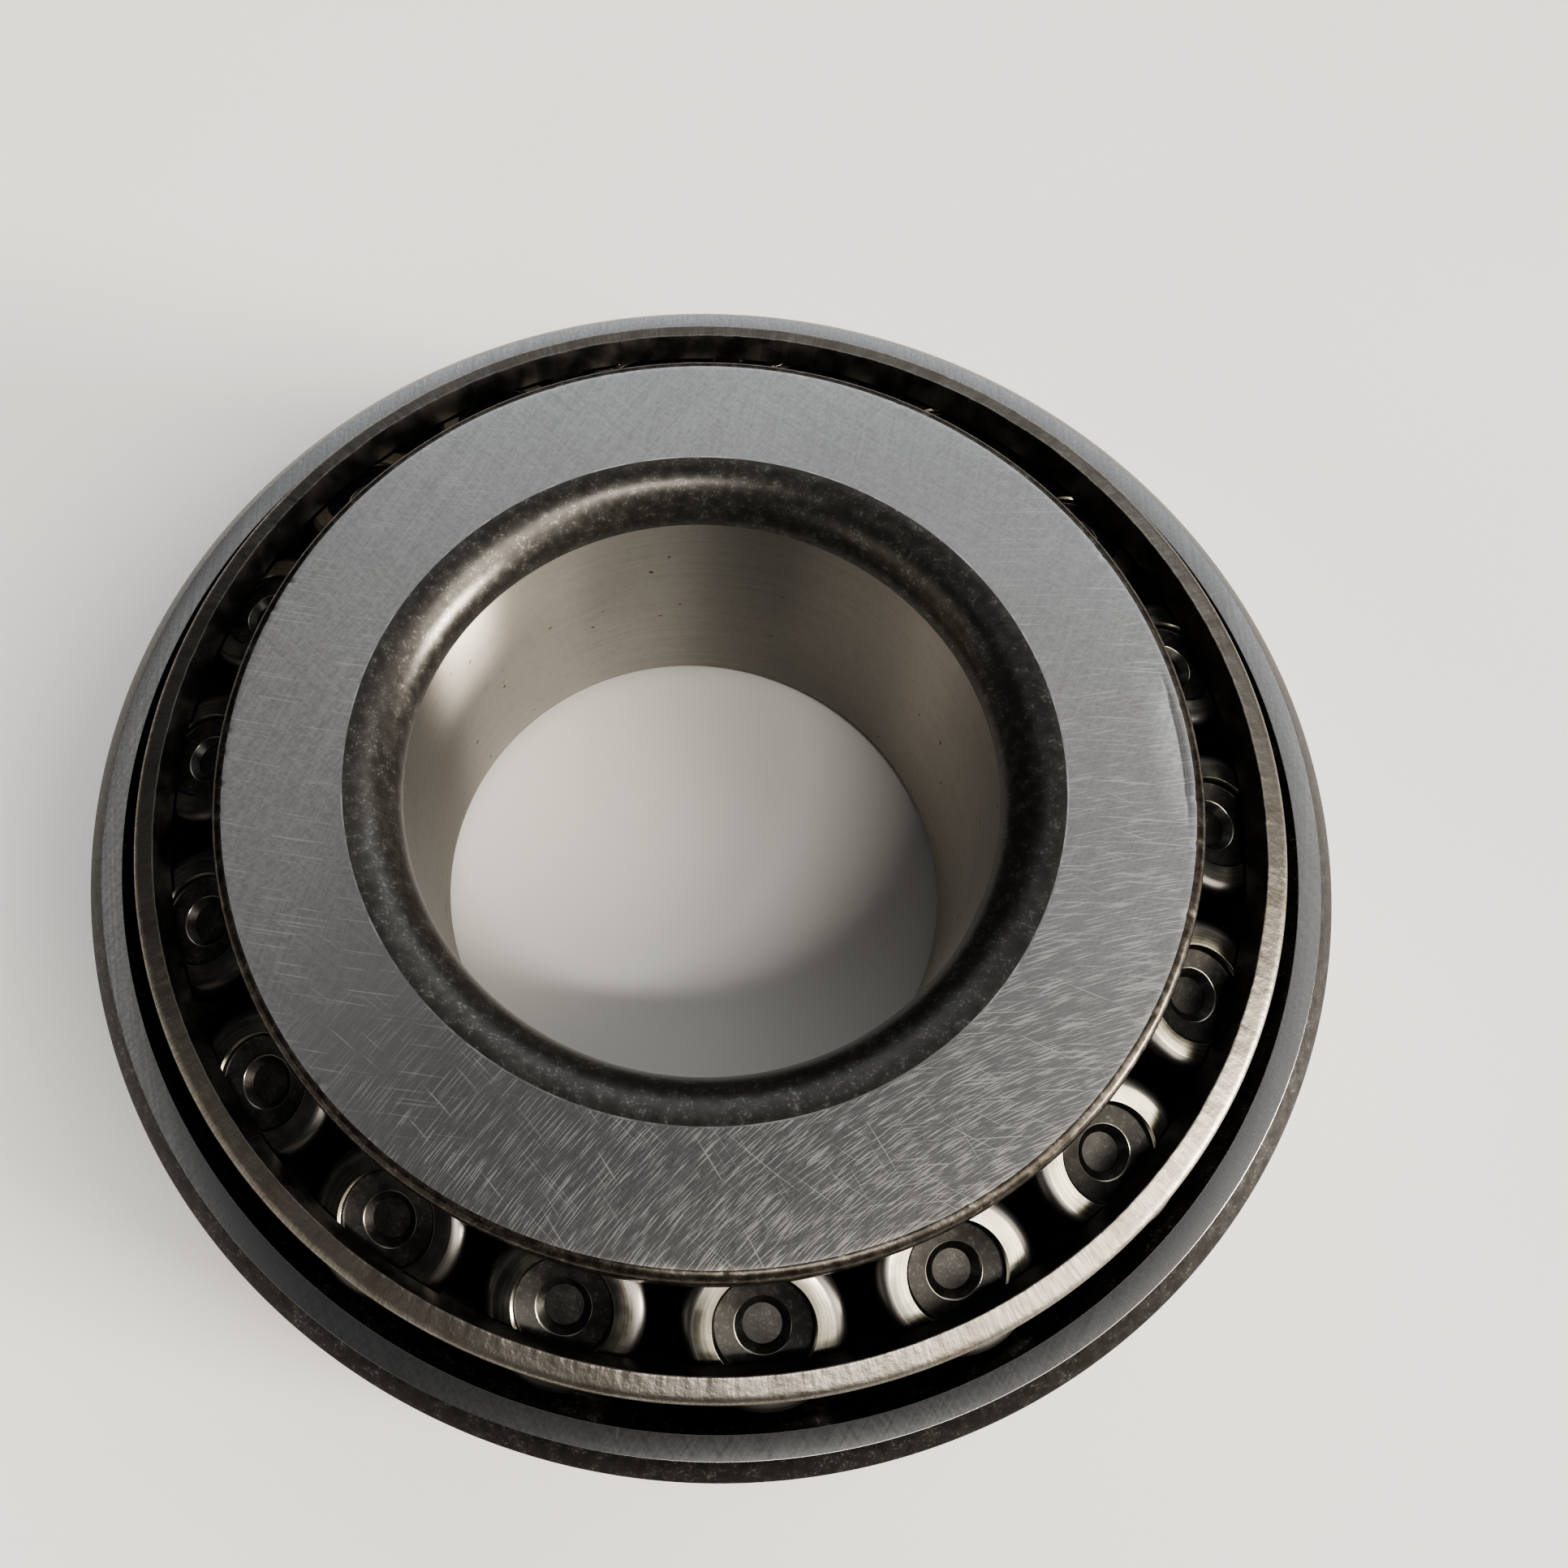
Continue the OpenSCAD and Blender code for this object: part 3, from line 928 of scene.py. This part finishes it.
def studio(panes):
    """The room's light: a dim even grey, and soft-edged panes of light such as windows and lamps.

    Each pane is (azimuth, elevation, half width, half height, softness, strength, colour), with
    its angles in degrees. The camera itself sees a plain pale backdrop instead."""
    world = bpy.data.worlds.new("studio")
    n = Nodes(world)
    direction = n.scaled(n.node("ShaderNodeNewGeometry").outputs["Incoming"], -1.0)
    height = n.math("ARCSINE", n.split(direction)[2])
    total = AMBIENT
    for azimuth, elevation, half_width, half_height, softness, strength, colour in panes:
        wide, tall, soft = (math.radians(a) for a in (half_width, half_height, softness))
        turn = n.math("ARCTAN2", n.along(direction, azimuth + 90), n.along(direction, azimuth))
        rise = n.math("SUBTRACT", height, math.radians(elevation))
        inside_width = n.shape(n.math("ABSOLUTE", turn), wide - soft, wide + soft, 1.0, 0.0)
        inside_height = n.shape(n.math("ABSOLUTE", rise), tall - soft, tall + soft, 1.0, 0.0)
        inside = n.math("MULTIPLY", inside_width, inside_height)
        light = tuple(c * strength for c in colour)
        made = n.node("ShaderNodeVectorMath", {0: light, 1: inside, 2: total}, operation="MULTIPLY_ADD")
        total = made.outputs[0]
    seen = n.node("ShaderNodeLightPath").outputs["Is Camera Ray"]
    background = n.node("ShaderNodeBackground", {"Color": n.mix_vectors(seen, total, BACKDROP)})
    n.node("ShaderNodeOutputWorld", {"Surface": background.outputs[0]})
    bpy.context.scene.world = world


def ceiling_lamp(along, across, length, width, power, colour):
    """A flat strip lamp overhead. Its place and size are given as shares of its height."""
    height = 1.2
    data = bpy.data.lights.new("ceiling_lamp", "AREA")
    data.shape = "RECTANGLE"
    data.size, data.size_y = length * height, width * height
    data.energy, data.color = power, colour
    made = bpy.data.objects.new("ceiling_lamp", data)
    made.location = (along * height, across * height, height)
    bpy.context.scene.collection.objects.link(made)


def camera():
    """Held above the near side of the bearing, looking down and a little to the left."""
    place = (0.02, -38.97, 121.64)
    angles = (21.85, 2.515, 5.085)
    data = bpy.data.cameras.new("camera")
    data.sensor_width = 36.0
    data.lens = 31.49
    data.shift_x, data.shift_y = 0.1194, 0.0026
    data.clip_start, data.clip_end = 0.01, 5.0
    made = bpy.data.objects.new("camera", data)
    made.location = Vector(place) * MM
    made.rotation_euler = Euler([math.radians(a) for a in angles], "XYZ")
    bpy.context.scene.collection.objects.link(made)
    bpy.context.scene.camera = made


def film():
    view = bpy.context.scene.view_settings
    view.view_transform = "AgX"
    view.look = "AgX - High Contrast"
    view.exposure = 0.08


outer_ring()
inner_ring()
cage()
for roller_name in roller_names:
    roller(roller_name)
paper()
studio(
    (  # azimuth, elevation, half width, half height, softness, strength, colour
        (-25, 20, 25, 10, 2, 1.2, WARM),
        (-12, 11, 9, 6, 2, 66.0, WARM),
        (-24, 43, 25, 12, 1.5, 6.0, WARM),
        (-64, 54, 16, 6, 2, 1.4, WARM),
        (80, 37, 42, 13, 8, 1.2, COOL),
        (215, 20, 26, 12, 8, 1.0, WARM),
        (30, 45, 16, 8, 5, 0.9, NEUTRAL),
        (90, 61, 105, 8, 5, 0.52, NEUTRAL),
    )
)
ceiling_lamp(along=0.25, across=-0.45, length=0.40, width=0.07, power=5.0, colour=(1.0, 0.96, 0.9))
camera()
film()
